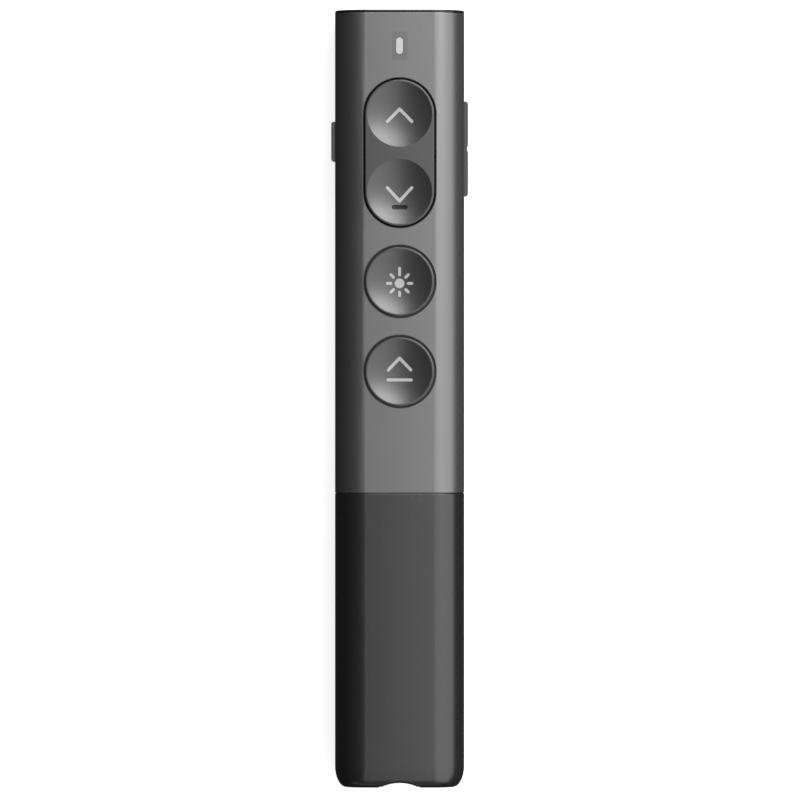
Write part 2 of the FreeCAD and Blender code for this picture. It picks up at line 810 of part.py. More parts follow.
def make_volume_rocker():
    """The rocker: a bar with a shallow notch half way, a flange, two press lugs and a pivot pip."""
    pin_x = volume_pin_x()
    outer = pin_x + side_flange / 2
    inner = pin_x - side_flange / 2
    half_z = side_key_height / 2 + side_flange_overlap
    reach = volume_length / 2 + side_flange_overlap
    bar = side_key_block(1, outer - 0.2, volume_y, volume_length)
    notch_x = side_x + side_key_proud + volume_notch_radius - volume_notch_depth
    notch = post(notch_x, volume_y, 0, face_z, volume_notch_radius)
    bar = bar.cut(notch)
    plate = box(inner, outer, volume_y - reach, volume_y + reach, middle_z - half_z, middle_z + half_z)
    switch_mid = board_z - side_switch_height / 2
    half_lug = volume_lug_half_length
    lugs = [box(inner - volume_lug_depth, inner + 0.01, y - half_lug, y + half_lug,
                middle_z - 0.2, switch_mid + 0.5)
            for y in (volume_y - volume_switch_reach, volume_y + volume_switch_reach)]
    pip = post(pin_x, volume_y, yoke_range()[0], middle_z, volume_pin_radius)
    return join([bar, plate, pip] + lugs)


def yoke_range():
    """The heights between which the yoke of the volume rocker's pip lies."""
    return (parting_height + 0.1, middle_z - side_key_height / 2 - side_flange_overlap - 0.1)


def make_yoke():
    """An ear inside the front shell that carries the volume rocker's pip."""
    low, high = yoke_range()
    pin_x = volume_pin_x()
    block = box(pin_x - yoke_half_depth, side_inner_x + rib_embed, volume_y - lug_half_length,
                volume_y + lug_half_length, low, high)
    return block.cut(post(pin_x, volume_y, low - 1, face_z, volume_pin_radius + axle_clearance))


def make_radio_chip():
    y = laser_key_y + chip_from_laser_key
    half = chip_size / 2
    chip = box(-half, half, y - half, y + half, board_z - chip_height, board_z)
    low = [edge for edge in chip.Edges if abs(edge.BoundBox.ZMax - board_z + chip_height) < 1e-4]
    return chip.makeChamfer(chip_bevel, low)


def make_crystal():
    y = laser_key_y + chip_from_laser_key
    return stadium(crystal_x, y, crystal_width, crystal_length, board_z - crystal_height, board_z)


def make_antenna():
    y = board_tail_y + antenna_from_board_tail
    return box(antenna_x_range[0], antenna_x_range[1], y - antenna_length / 2, y + antenna_length / 2,
               board_z - antenna_height, board_z)


def small_parts(places, height):
    """Small blocks soldered under the board."""
    half_x = small_part_width / 2
    half_y = small_part_length / 2
    return Part.makeCompound([box(x - half_x, x + half_x, y - half_y, y + half_y, board_z - height, board_z)
                              for x, y in places])


def make_capacitors():
    column_y = laser_key_y + capacitor_column_from_laser_key
    row_y = screen_key_y + capacitor_row_from_screen_key
    places = [(capacitor_column_x, column_y + capacitor_pitch * i) for i in range(3)]
    places += [(capacitor_row_x + capacitor_pitch * i, row_y) for i in range(2)]
    return small_parts(places, capacitor_height)


def make_resistors():
    front_y = laser_key_y + front_resistors_from_laser_key
    rear_y = screen_key_y + rear_resistors_from_screen_key
    places = [(front_resistors_x + resistor_pitch * i, front_y) for i in range(4)]
    places += [(rear_resistors_x + resistor_pitch * i, rear_y) for i in range(3)]
    return small_parts(places, resistor_height)


def make_screws(places, head_z, tip_z):
    """Self-tapping screws with a cross recess, driven towards the key face."""
    screws = []
    for x, y in places:
        head = post(x, y, head_z - screw_head_height, head_z, screw_head_radius)
        low = [edge for edge in head.Edges if abs(edge.BoundBox.ZMax - head_z + screw_head_height) < 1e-4]
        head = head.makeFillet(screw_head_round, low)
        shank = post(x, y, head_z - 0.2, tip_z, screw_radius)
        screw = join([head, shank])
        bottom = head_z - screw_head_height
        for a, b in ((screw_cross_long, screw_cross_short), (screw_cross_short, screw_cross_long)):
            screw = screw.cut(box(x - a, x + a, y - b, y + b, bottom - 0.1, bottom + screw_cross_depth))
        screws.append(screw)
    return Part.makeCompound(screws)


def make_chassis():
    """The battery carrier: a plug in the upper shells, a neck for the sleeve and an open cradle."""
    bore_radius = cell_diameter / 2 + cell_clearance
    block = section_block(chassis_inset, chassis_tail_y, chassis_y)
    open_y = seam_y - neck_length
    cuts = [rod_along_y(0, middle_z, open_y, chassis_y - bulkhead, bore_radius),
            trough(bore_radius, cradle_end_y, open_y)]
    pocket_inner = bore_radius + cradle_pocket_wall
    pocket_outer = side_x - chassis_inset - cradle_rib
    bay = (open_y - cradle_rib - chassis_tail_y - bulkhead) / cradle_bays
    for sign in (-1, 1):
        xs = sorted([sign * pocket_inner, sign * pocket_outer])
        for i in range(cradle_bays):
            y0 = chassis_tail_y + bulkhead + i * bay
            cuts.append(box(xs[0], xs[1], y0, y0 + bay - cradle_rib, -1, board_z))
    flange_reach = key_diameter / 2 + flange_width + 0.3
    cuts.append(box(-flange_reach, flange_reach, screen_key_y - flange_reach, chassis_y + 1,
                    flange_z - key_travel - 0.2, face_z))
    for x, y in chassis_screws_xy:
        cuts.append(post(x, y, board_top_z - 0.1, face_z, boss_radius + boss_clearance))
        cuts.append(post(x, y, 0, face_z, screw_radius + screw_hole_gap))
        cuts.append(post(x, y, -1, chassis_head_z(), screw_head_radius + screw_head_gap))
    cuts.append(box(tab_x() - 0.1, tab_x() + positive_tab_width + 0.1, chassis_y - bulkhead - 1, chassis_y + 1,
                    board_top_z - 0.1, board_top_z + contact_sheet + 0.1))
    x0 = strip_x()
    x1 = x0 + strip_width + 0.1
    cuts.append(box(x0 - 0.1, x1, cradle_end_y, chassis_y + 1,
                    board_top_z - 0.1, board_top_z + contact_sheet + 0.1))
    cuts.append(box(0, x1, cradle_end_y, spring_end_y + 0.1, middle_z, board_top_z + contact_sheet + 0.1))
    for cutter in cuts:
        block = block.cut(cutter)
    return block.removeSplitter()


def trough(radius, y0, y1):
    """The space of the cell where the cradle is open to the back: a round roof and straight sides."""
    roof = Part.Arc(V(-radius, y0, middle_z), V(0, y0, middle_z + radius), V(radius, y0, middle_z)).toShape()
    points = [V(radius, y0, middle_z), V(radius, y0, -1), V(-radius, y0, -1), V(-radius, y0, middle_z)]
    sides = [Part.LineSegment(first, last).toShape() for first, last in zip(points, points[1:])]
    return Part.Face(Part.Wire([roof] + sides)).extrude(V(0, y1 - y0, 0))


def chassis_head_z():
    return board_top_z - chassis_head_below_board


def tab_x():
    return -positive_plate_half


def strip_x():
    return cell_diameter / 2 - 0.1


def make_positive_contact():
    """A sheet at the nose end of the cell, with a tab that reaches the board."""
    half = positive_plate_half
    plate = box(-half, half, cell_front_y, cell_front_y + contact_sheet,
                middle_z - positive_plate_drop, board_top_z)
    tab = box(tab_x(), tab_x() + positive_tab_width, cell_front_y, board_tail_y + contact_on_board,
              board_top_z, board_top_z + contact_sheet)
    return join([plate, tab])


def make_negative_contact():
    """A sheet behind the coil spring, and a strip that runs past the cell to the board."""
    x0 = strip_x()
    half = negative_plate_half
    plate = box(-half, half, cradle_end_y, spring_end_y,
                middle_z - negative_plate_height / 2, middle_z + negative_plate_height / 2)
    x1 = x0 + strip_width
    link = box(0, x1, cradle_end_y, spring_end_y, middle_z + 0.4, board_top_z + contact_sheet)
    strip = box(x0, x1, cradle_end_y, board_tail_y + contact_on_board,
                board_top_z, board_top_z + contact_sheet)
    plate = plate.common(rod_along_y(0, middle_z, cradle_end_y, spring_end_y, cell_diameter / 2))
    return join([plate, link, strip])


def spring_point(turn):
    """A point of the coil's centre line: turn runs from 0 at the sheet to spring_turns at the cell."""
    share = turn / spring_turns
    radius = spring_wide_radius + (spring_narrow_radius - spring_wide_radius) * share
    start = spring_end_y + spring_wire / 2
    rise = spring_length - spring_wire
    angle = 2 * math.pi * turn
    return V(radius * math.cos(angle), start + rise * share, middle_z + radius * math.sin(angle))


def make_spring():
    """A cone-shaped coil spring: one wire swept along arcs of a quarter turn."""
    quarters = 4 * spring_turns
    edges = [Part.Arc(spring_point(i / 4), spring_point((i + 0.5) / 4), spring_point((i + 1) / 4)).toShape()
             for i in range(quarters)]
    path = Part.Wire(edges)
    start = path.Edges[0]
    heading = start.tangentAt(start.FirstParameter)
    profile = Part.Wire(Part.Circle(spring_point(0), heading, spring_wire / 2).toShape())
    coil = path.makePipeShell([profile], True, False)
    steps = 24 * spring_turns
    points = [spring_point(spring_turns * i / steps) for i in range(steps + 1)]
    gaps = [points[i].distanceToPoint(points[j]) - spring_wire
            for i in range(len(points)) for j in range(i + 18, len(points))]
    print("least gap between the spring's turns:", round(min(gaps), 3), "mm")
    return coil


def make_cell():
    """The cell as three pieces: printed jacket, positive cap, and the can with its bare base."""
    r = cell_diameter / 2
    shoulder = cell_front_y - cell_nub_length
    jacket = rod_along_y(0, middle_z, cell_back_y + jacket_end, shoulder, r)
    jacket = jacket.cut(rod_along_y(0, middle_z, cell_back_y, shoulder - jacket_end, r - cell_jacket_wall))
    jacket = jacket.cut(rod_along_y(0, middle_z, cell_back_y, nose_y, r - jacket_lip))
    can = rod_along_y(0, middle_z, cell_back_y, shoulder - jacket_end, r - cell_jacket_wall)
    nub = rod_along_y(0, middle_z, shoulder - jacket_end, cell_front_y, cell_nub_diameter / 2)
    collar = rod_along_y(0, middle_z, shoulder - jacket_end, shoulder - jacket_end / 2, r - 1.05)
    return jacket, can, join([nub, collar])


def end_profile(inset, length, y, toward):
    """The corner cut away from an end of the casing: the space outside a quarter of an ellipse.
    The end lies at y, and toward is 1 where the solid lies on its +Y side, -1 on its -Y side."""
    outside = 1.0
    inner_y = y + toward * length
    outer_y = y - toward * outside
    on_end = V(0, y, face_z - inset)
    on_face = V(0, inner_y, face_z)
    k = math.sqrt(0.5)
    if length == inset:
        middle = V(0, inner_y - toward * length * k, face_z - inset + inset * k)
        arc = Part.Arc(on_end, middle, on_face).toShape()
    else:
        centre = V(0, inner_y, face_z - inset)
        ellipse = Part.Ellipse(on_end, on_face, centre)
        quarters = [ellipse.toShape(i * math.pi / 2, (i + 1) * math.pi / 2) for i in range(4)]
        arc = min(quarters, key=lambda piece: toward * piece.CenterOfMass.y - piece.CenterOfMass.z)
    points = [on_face, V(0, inner_y, face_z + outside), V(0, outer_y, face_z + outside),
              V(0, outer_y, face_z - inset), on_end]
    lines = [Part.LineSegment(first, last).toShape() for first, last in zip(points, points[1:])]
    return Part.Face(Part.Wire(Part.__sortEdges__([arc] + lines)))


def end_rounding(inset, length, y, toward):
    """The pieces that round one end of the casing, one by one round its section."""
    flat = side_x - corner_radius
    side_flat = face_z - 2 * corner_radius
    turn = V(0, 1, 0)
    top = end_profile(inset, length, y, toward)
    top.translate(V(-flat, 0, 0))
    upper = end_profile(inset, length, y, toward)
    upper.translate(V(flat, 0, 0))
    upper_pivot = V(flat, 0, face_z - corner_radius)
    side = upper.copy()
    side.rotate(upper_pivot, turn, 90)
    lower = side.copy()
    lower.translate(V(0, 0, -side_flat))
    half = [top.extrude(V(2 * flat, 0, 0)), upper.revolve(upper_pivot, turn, 90),
            side.extrude(V(0, 0, -side_flat)), lower.revolve(V(flat, 0, corner_radius), turn, 90)]
    other = [piece.copy() for piece in half]
    for piece in other:
        piece.rotate(V(0, 0, middle_z), turn, 180)
    return half + other


def ease_end(shape, y, toward):
    """Break the sharp outer edge that an end of a shell would have."""
    return shape.cut(end_rounding(end_ease, end_ease, y, toward))


def finger_groove(depth):
    """A shallow round groove across the middle of the tail."""
    chord = groove_chord + 2 * (depth - groove_depth)
    radius = (chord ** 2 / 4 + depth ** 2) / (2 * depth)
    return post(0, tail_y + depth - radius, -1, face_z + 1, radius)


def bay_hole(y0, y1, wall=0.0):
    half_x = grip_width / 2 + bay_clearance + wall
    half_z = grip_thickness / 2 + bay_clearance + wall
    return box(-half_x, half_x, y0, y1, middle_z - half_z, middle_z + half_z)


def plug_hole(y0, y1, wall=0.0):
    half_x = plug_width / 2 + bay_clearance + wall
    half_z = plug_thickness / 2 + bay_clearance + wall
    return box(-half_x, half_x, y0, y1, middle_z - half_z, middle_z + half_z)


def make_battery_cap():
    """The dark lower sleeve: open towards the upper body, with a rounded tail."""
    cap = section_block(0, tail_y, seam_y)
    cap = cap.cut(end_rounding(tail_round_inset, tail_round_length, tail_y, 1))
    cap = ease_end(cap, seam_y, -1)
    cap = cap.cut(section_block(shell_wall, tail_y + tail_wall, seam_y + 1))
    cap = cap.cut(bay_hole(tail_y - 1, tail_y + tail_wall + 1))
    return cap.cut(finger_groove(groove_depth + groove_finger_room))


def make_receiver_bay():
    """The box inside the sleeve that holds the receiver, with a stop plate at its front."""
    grip_zone = grip_front_y + 0.1
    plate = section_block(shell_wall + fit_gap, bay_front_y - bulkhead, bay_front_y)
    shell = [plate,
             bay_hole(tail_y + tail_wall, grip_zone + bay_wall, bay_wall),
             plug_hole(grip_zone, bay_front_y - bulkhead + 0.01, bay_wall)]
    bay = join(shell)
    bay = bay.cut(bay_hole(tail_y, grip_zone))
    return bay.cut(plug_hole(grip_zone - 0.01, bay_front_y - bulkhead))


def make_receiver_grip():
    half_x = grip_width / 2
    half_z = grip_thickness / 2
    grip = box(-half_x, half_x, tail_y, grip_front_y, middle_z - half_z, middle_z + half_z)
    long_edges = [edge for edge in grip.Edges if abs(edge.BoundBox.YLength - grip_length) < 1e-4]
    grip = grip.makeFillet(grip_side_round, long_edges)
    end = [edge for edge in grip.Edges if abs(edge.BoundBox.YMax - tail_y) < 1e-4]
    grip = grip.makeFillet(grip_end_round, end)
    return grip.cut(finger_groove(groove_depth))


def make_plug_shell():
    half_x = plug_width / 2
    half_z = plug_thickness / 2
    shell = box(-half_x, half_x, grip_front_y, plug_tip_y, middle_z - half_z, middle_z + half_z)
    long_edges = [edge for edge in shell.Edges if abs(edge.BoundBox.YLength - plug_tip_y + grip_front_y) < 1e-4]
    shell = shell.makeFillet(plug_corner_round, long_edges)
    shell = shell.cut(box(-half_x + plug_sheet, half_x - plug_sheet, grip_front_y, plug_tip_y + 1,
                          middle_z - half_z + plug_sheet, middle_z + half_z - plug_sheet))
    half = plug_window_width / 2
    for x in (-half_x / 2, half_x / 2):
        shell = shell.cut(box(x - half, x + half, plug_tip_y - plug_window_far, plug_tip_y - plug_window_near,
                              0, face_z))
    return shell


def make_plug_tongue():
    half = plug_width / 2 - plug_sheet
    base = middle_z - plug_thickness / 2 + plug_sheet
    return box(-half, half, grip_front_y, plug_tip_y - tongue_from_tip, base, base + tongue_thickness)


def make_plug_contacts():
    z0 = middle_z - plug_thickness / 2 + plug_sheet + tongue_thickness
    y1 = plug_tip_y - plug_contact_from_tip
    half = plug_contact_width / 2
    return Part.makeCompound([box(x - half, x + half, y1 - length, y1, z0, z0 + plug_contact_thickness)
                              for x, length in plug_contacts_x_length])


def key_legends():
    """The symbol of each key, ready to be set into its dish."""
    up_y, down_y = page_dish_ys
    up = chevron(0, up_y - page_up_drop, chevron_half_width, page_up_rise)
    down = chevron(0, down_y + page_down_lift, chevron_half_width, page_down_rise)
    return {
        "page_up": dish_legend(up, 0, up_y),
        "page_down": dish_legend(down, 0, down_y),
        "laser": dish_legend(sun_strokes(0, laser_key_y), 0, laser_key_y),
        "screen": dish_legend(screen_strokes(0, screen_key_y), 0, screen_key_y)}


def soften_rim(key, radius):
    """Round the outer upper edge of a key."""
    rim = []
    for edge in key.Edges:
        level = abs(edge.BoundBox.ZMin - face_z) < 1e-4 and abs(edge.BoundBox.ZMax - face_z) < 1e-4
        inside = hasattr(edge.Curve, "Radius") and abs(edge.Curve.Radius - dish_diameter / 2) < 1e-3
        if level and not inside:
            rim.append(edge)
    return key.makeFillet(radius, rim)


def make_page_key(legends):
    up_y, down_y = page_dish_ys
    key = stadium(0, page_key_y, key_diameter, page_dish_spacing + key_diameter, flange_z, face_z)
    key = soften_rim(key, key_edge_round)
    rib_low = axle_z - axle_radius - 0.35
    rib = box(-key_diameter / 2 + 0.8, key_diameter / 2 - 0.8, page_key_y - 1.2, page_key_y + 1.2,
              rib_low, flange_z + 0.1)
    feet = [post(0, y, foot_z, flange_z + 0.1, key_foot_radius) for y in page_dish_ys]
    key = join([key, rib] + feet)
    key = key.cut(rod_along_x(page_key_y, axle_z, -side_x, side_x, axle_radius + axle_clearance))
    for y in (up_y, down_y):
        key = key.cut(dish_ball(0, y))
    dash_y = down_y - dash_from_dish
    dash = stroke(-(dash_length - dash_width) / 2, dash_y, (dash_length - dash_width) / 2, dash_y, dash_width)
    key = key.cut(dash.common(dish_ball(0, down_y, legend_depth)))
    return key.cut(legends["page_up"]).cut(legends["page_down"])


def make_round_key(y, legend):
    key = post(0, y, flange_z, face_z, key_diameter / 2)
    key = soften_rim(key, key_edge_round)
    flange = post(0, y, flange_z, flange_top_z, key_diameter / 2 + flange_width)
    tab_start = key_diameter / 2
    tab = box(-key_tab_width / 2, key_tab_width / 2, y + tab_start,
              y + tab_start + flange_width + key_tab_length, flange_z, flange_top_z)
    foot = post(0, y, foot_z, flange_z + 0.1, key_foot_radius)
    key = join([key, flange, tab, foot])
    return key.cut(dish_ball(0, y)).cut(legend)


def make_page_axle():
    end = key_diameter / 2 + axle_lug_gap + axle_lug_width
    return rod_along_x(page_key_y, axle_z, -end, end, axle_radius)


def main():
    os.makedirs("parts", exist_ok=True)
    legends = key_legends()
    save("front_shell", make_front_shell())
    save("back_shell", make_back_shell())
    save("nose_cap", make_nose_cap())
    save("laser_window", make_laser_window())
    save("laser_barrel", make_laser_barrel())
    save("laser_lens", make_laser_lens())
    save("laser_diode", make_laser_diode())
    save("laser_board", make_laser_board())
    save("laser_wires", make_laser_wires())
    save("indicator_window", make_indicator_window())
    save("light_pipe", make_light_pipe())
    save("status_led", make_status_led())
    save("main_board", make_main_board())
    front_keys = {"page_up": page_dish_ys[0], "page_down": page_dish_ys[1],
                  "laser": laser_key_y, "screen": screen_key_y}
    for name, y in front_keys.items():
        save(name + "_switch", make_front_switch(y))
        save(name + "_pad", make_pad(y))
        save(name + "_legend", legends[name])
    save("volume_up_switch", make_side_switch(volume_y + volume_switch_reach))
    save("volume_down_switch", make_side_switch(volume_y - volume_switch_reach))
    save("power_switch", make_power_switch())
    save("power_switch_lever", make_power_switch_lever())
    save("power_knob", make_power_knob())
    save("volume_rocker", make_volume_rocker())
    save("radio_chip", make_radio_chip())
    save("crystal", make_crystal())
    save("antenna", make_antenna())
    save("capacitors", make_capacitors())
    save("resistors", make_resistors())
    save("board_screws", make_screws(board_screws_xy, board_z, board_top_z + screw_grip))
    save("chassis_screws", make_screws(chassis_screws_xy, chassis_head_z(), board_top_z + screw_grip))
    save("chassis", make_chassis())
    save("positive_contact", make_positive_contact())
    save("negative_contact", make_negative_contact())
    save("contact_spring", make_spring())
    jacket, can, nub = make_cell()
    save("cell_jacket", jacket)
    save("cell_can", can)
    save("cell_cap", nub)
    save("battery_cap", make_battery_cap())
    save("receiver_bay", make_receiver_bay())
    save("receiver_grip", make_receiver_grip())
    save("plug_shell", make_plug_shell())
    save("plug_tongue", make_plug_tongue())
    save("plug_contacts", make_plug_contacts())
    save("page_key", make_page_key(legends))
    save("page_axle", make_page_axle())
    save("laser_key", make_round_key(laser_key_y, legends["laser"]))
    save("screen_key", make_round_key(screen_key_y, legends["screen"]))
    print("overall length", round(overall_length, 3), "thickness", round(body_thickness, 3))
    if page_dish_spacing / 2 * math.sin(math.radians(page_tilt_degrees)) > key_travel:
        raise RuntimeError("the page key presses its switches further than they travel")


main()
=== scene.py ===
import json
import math

import bpy
from bpy.props import FloatProperty, FloatVectorProperty, PointerProperty
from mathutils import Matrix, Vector


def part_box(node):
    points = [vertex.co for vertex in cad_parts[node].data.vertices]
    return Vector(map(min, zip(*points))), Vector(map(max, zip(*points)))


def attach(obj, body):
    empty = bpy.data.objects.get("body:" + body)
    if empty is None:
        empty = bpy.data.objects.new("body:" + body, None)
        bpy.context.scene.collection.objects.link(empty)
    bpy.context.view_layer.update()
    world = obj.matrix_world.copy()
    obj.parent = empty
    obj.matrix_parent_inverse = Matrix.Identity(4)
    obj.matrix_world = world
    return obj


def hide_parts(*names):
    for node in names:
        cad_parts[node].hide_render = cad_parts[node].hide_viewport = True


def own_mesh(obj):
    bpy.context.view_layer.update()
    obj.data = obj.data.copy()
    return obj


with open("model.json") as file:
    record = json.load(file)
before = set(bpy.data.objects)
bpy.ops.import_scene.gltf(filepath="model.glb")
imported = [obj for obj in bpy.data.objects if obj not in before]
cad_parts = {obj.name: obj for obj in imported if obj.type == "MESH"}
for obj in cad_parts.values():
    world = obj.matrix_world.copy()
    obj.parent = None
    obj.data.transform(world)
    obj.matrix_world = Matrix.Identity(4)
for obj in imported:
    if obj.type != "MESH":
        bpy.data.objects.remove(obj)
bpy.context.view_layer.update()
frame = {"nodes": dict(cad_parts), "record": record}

bl_info = {
    "name": "Presentation Clicker",
    "version": (1, 0, 0),
    "blender": (4, 5, 0),
    "location": "3D View > Sidebar > Clicker",
    "description": "Finishes, fittings and studio for a wireless presentation clicker",
    "category": "Object",
}

MM = 0.001
SLOT_OF = {row["node"]: row["material_slot"] for row in frame["record"]["subparts"]}

# painted shade in the engraved dash on the page key: below the lower chevron, with round ends
DASH_BELOW_CHEVRON = 0.85 * MM
DASH_HALF_LENGTH = 1.05 * MM
DASH_RADIUS = 0.38 * MM
DASH_PAINTED_SHADE = (0.02, 0.02, 0.02)

# the cell's print: places are shares of its length from the negative end, or distances from it
BAND_FROM = 0.72
STRIPE_AT = 0.70
STRIPE_HALF = 0.35 * MM
TAIL_STRIPE_AT = 3.0 * MM
TAIL_STRIPE_HALF = 0.5 * MM
BAND_COPPER = (0.55, 0.25, 0.10)
STRIPE_PALE = (0.75, 0.75, 0.72)

# plastics inside: material slot, name, colour, roughness, grain and its depth in mm
PLASTICS = (
    ("switch_black", "switch plastic", (0.02, 0.02, 0.022), 0.45, 0.12, 0.012),
    ("chip_black", "chip epoxy", (0.016, 0.016, 0.017), 0.6, 0.08, 0.015),
    ("antenna_ceramic", "ceramic white", (0.72, 0.72, 0.70), 0.4, 0.1, 0.008),
    ("capacitor_tan", "capacitor ceramic", (0.32, 0.20, 0.11), 0.45, 0.1, 0.008),
    ("wire_red", "wire sleeve", (0.42, 0.02, 0.015), 0.4, 0.2, 0.006),
    ("chassis_black", "chassis plastic", (0.022, 0.022, 0.024), 0.5, 0.14, 0.014),
    ("receiver_black", "receiver plastic", (0.018, 0.018, 0.019), 0.42, 0.12, 0.01),
    ("tongue_white", "plug tongue", (0.70, 0.70, 0.68), 0.35, 0.2, 0.006),
)

# metals inside: material slots, name, colour, roughness and which way the fine lines run
LENGTHWISE = (1.0, 12.0, 1.0)
TURNED = (12.0, 1.0, 12.0)
METALS = (
    ({"barrel_brass"}, "turned brass", (0.60, 0.40, 0.15), 0.26, TURNED),
    ({"contact_gold"}, "gold plate", (0.72, 0.47, 0.14), 0.22, LENGTHWISE),
    ({"switch_steel", "plug_steel"}, "stamped steel", (0.50, 0.50, 0.51), 0.30, LENGTHWISE),
    ({"screw_steel"}, "black zinc", (0.20, 0.20, 0.21), 0.34, LENGTHWISE),
    ({"contact_nickel"}, "nickel plate", (0.58, 0.56, 0.51), 0.24, LENGTHWISE),
    ({"cell_steel"}, "cell nickel", (0.56, 0.56, 0.55), 0.26, TURNED),
)

# the pads under the keys
PAD_RIM = 0.12 * MM
PRESSED_BY = {"page_up_pad": "page_key_tilt", "page_down_pad": "page_key_tilt",
              "laser_pad": "laser_key_press", "screen_pad": "screen_key_press"}

# the bezel round the laser window: each step is how much the ring grows and how far it moves out
BEZEL_INNER = 2.02 * MM
BEZEL_SUNK = 0.02 * MM
BEZEL_STEPS = ((1.03, 0.10 * MM), (1.10, 0.0), (1.03, -0.10 * MM))
WELD = 0.001 * MM

# the stage: a picture this wide and high, seen from above this point
PICTURE_WIDTH = 800 / 5.543 * MM
CAMERA_AIM = Vector((0.07, -0.21, 10.0)) * MM
SENSOR_MM = 36.0
FLOOR_SIZE = 6.0
FLOOR_BELOW = 0.05 * MM
FLOOR_PALE = 0.55
FLOOR_DIM = 0.025
WORLD_DIM = 0.015
GLOSSY_SHARE = 0.012
WHITE = (1.0, 1.0, 1.0, 1.0)

# lamps: name, place, the point it faces, width and height, and the stage value that holds its power
LAMPS = (
    ("near lamp", (0.080, 0.0, 0.095), (0.020, 0.0, 0.0075), (0.5, 0.194), "side_power"),
    ("high lamp", (0.20, 0.40, 0.50), (0, 0, 0.01), (0.46, 0.36), "high_power"),
    ("nose fill", (-0.10, 0.60, 0.10), (0, 0.07, 0.0075), (0.5, 0.15), "fill_power"),
    ("under fill", (0, 0, -0.50), (0, 0, 0), (1.6, 1.6), "under_power"),
    ("tail fill", (-0.10, -0.60, 0.10), (0, -0.07, 0.0075), (0.5, 0.15), "fill_power"),
)


class Value:
    """A number that varies over a surface: wraps a socket, so that sums can be written plainly."""

    def __init__(self, maker, socket):
        self.maker = maker
        self.socket = socket

    def math(self, operation, *others, clamp=False):
        values = dict(enumerate([self] + list(others)))
        node = self.maker.node("ShaderNodeMath", {"operation": operation, "use_clamp": clamp}, values)
        return Value(self.maker, node.outputs[0])

    def __add__(self, other):
        return self.math("ADD", other)

    def __mul__(self, other):
        return self.math("MULTIPLY", other)

    def __sub__(self, other):
        return self.math("SUBTRACT", other)

    def __pow__(self, other):
        return self.math("POWER", other)

    def below(self, limit):
        return self.math("LESS_THAN", limit)

    def above(self, limit):
        return self.math("GREATER_THAN", limit)

    def size(self):
        return self.math("ABSOLUTE")

    def clamped(self):
        return self.math("ADD", 0.0, clamp=True)


class Nodes:
    """A node tree of a material or a world, filled from Python."""

    def __init__(self, owner):
        owner.use_nodes = True
        self.tree = owner.node_tree
        self.tree.nodes.clear()

    def node(self, kind, settings=None, inputs=None):
        node = self.tree.nodes.new(kind)
        for key, value in (settings or {}).items():
            setattr(node, key, value)
        for key, value in (inputs or {}).items():
            self.feed(node.inputs[key], value)
        return node

    def feed(self, socket, value):
        if isinstance(value, Value):
            self.tree.links.new(socket, value.socket)
        elif isinstance(value, bpy.types.NodeSocket):
            self.tree.links.new(socket, value)
        else:
            socket.default_value = value

    def seen_part(self, glossy_share):
        """1 for what the camera and clear pieces see, glossy_share for reflections, 0 for bounced light."""
        path = self.node("ShaderNodeLightPath")
        camera = Value(self, path.outputs["Is Camera Ray"])
        through = Value(self, path.outputs["Is Transmission Ray"])
        glossy = Value(self, path.outputs["Is Glossy Ray"])
        return (camera + through + glossy * glossy_share).clamped()


class Finish(Nodes):
    """One material: a Principled shader and the nodes that feed it."""

    def __init__(self, name):
        self.material = bpy.data.materials.new(name)
        super().__init__(self.material)
        self.shader = self.node("ShaderNodeBsdfPrincipled")
        self.node("ShaderNodeOutputMaterial", {}, {"Surface": self.shader.outputs[0]})
        self.place = self.node("ShaderNodeTexCoord").outputs["Object"]

    def set(self, **sockets):
        for name, value in sockets.items():
            self.feed(self.shader.inputs[name.replace("_", " ")], value)

    def noise(self, grain_mm, detail=2.0, roughness=0.5, stretch=(1.0, 1.0, 1.0)):
        """Smooth noise whose blobs are about grain_mm across."""
        place = self.node("ShaderNodeMapping", {}, {"Vector": self.place, "Scale": stretch}).outputs[0]
        node = self.node("ShaderNodeTexNoise", {}, {"Vector": place, "Scale": 1.0 / (grain_mm * MM),
                                                    "Detail": detail, "Roughness": roughness})
        return Value(self, node.outputs["Fac"])

    def axes(self):
        node = self.node("ShaderNodeSeparateXYZ", {}, {"Vector": self.place})
        return [Value(self, socket) for socket in node.outputs]

    def blend(self, mask, first, second):
        """The first colour where the mask is 0 and the second where it is 1."""
        node = self.node("ShaderNodeMix", {"data_type": "RGBA"}, {0: mask})
        self.feed(node.inputs["A"], colour4(first))
        self.feed(node.inputs["B"], colour4(second))
        return node.outputs["Result"]

    def shades(self, mask, colour, spread):
        """A colour that gets darker and lighter by spread as the mask runs from 0 to 1."""
        dark = [c * (1 - spread) for c in colour[:3]]
        light = [min(1.0, c * (1 + spread)) for c in colour[:3]]
        return self.blend(mask, dark, light)

    def bump(self, height, depth_mm, strength=1.0):
        node = self.node("ShaderNodeBump", {}, {"Height": height, "Distance": depth_mm * MM,
                                                "Strength": strength})
        self.set(Normal=node.outputs[0])


def colour4(colour):
    if isinstance(colour, bpy.types.NodeSocket):
        return colour
    return (colour[0], colour[1], colour[2], 1.0)


def satin_paint(name, colour, rough=0.36, metallic=0.85):
    """Satin paint with fine metal flake, a faint orange peel and slight handling marks."""
    f = Finish(name)
    flakes = f.noise(0.09, 1.0, 0.7)
    peel = f.noise(0.55, 2.0, 0.5)
    touch = f.noise(9.0, 3.0, 0.6, (1.0, 0.45, 1.0))
    f.set(Base_Color=f.shades((flakes - 0.5) * 1.6 + 0.5, colour, 0.05),
          Roughness=(touch - 0.5) * 0.10 + (flakes - 0.5) * 0.06 + rough,
          Metallic=metallic)
    f.set(Coat_Roughness=0.22, Coat_Weight=0.12)
    f.bump(peel * 0.6 + flakes * 0.4, 0.010, 0.55)
    return f


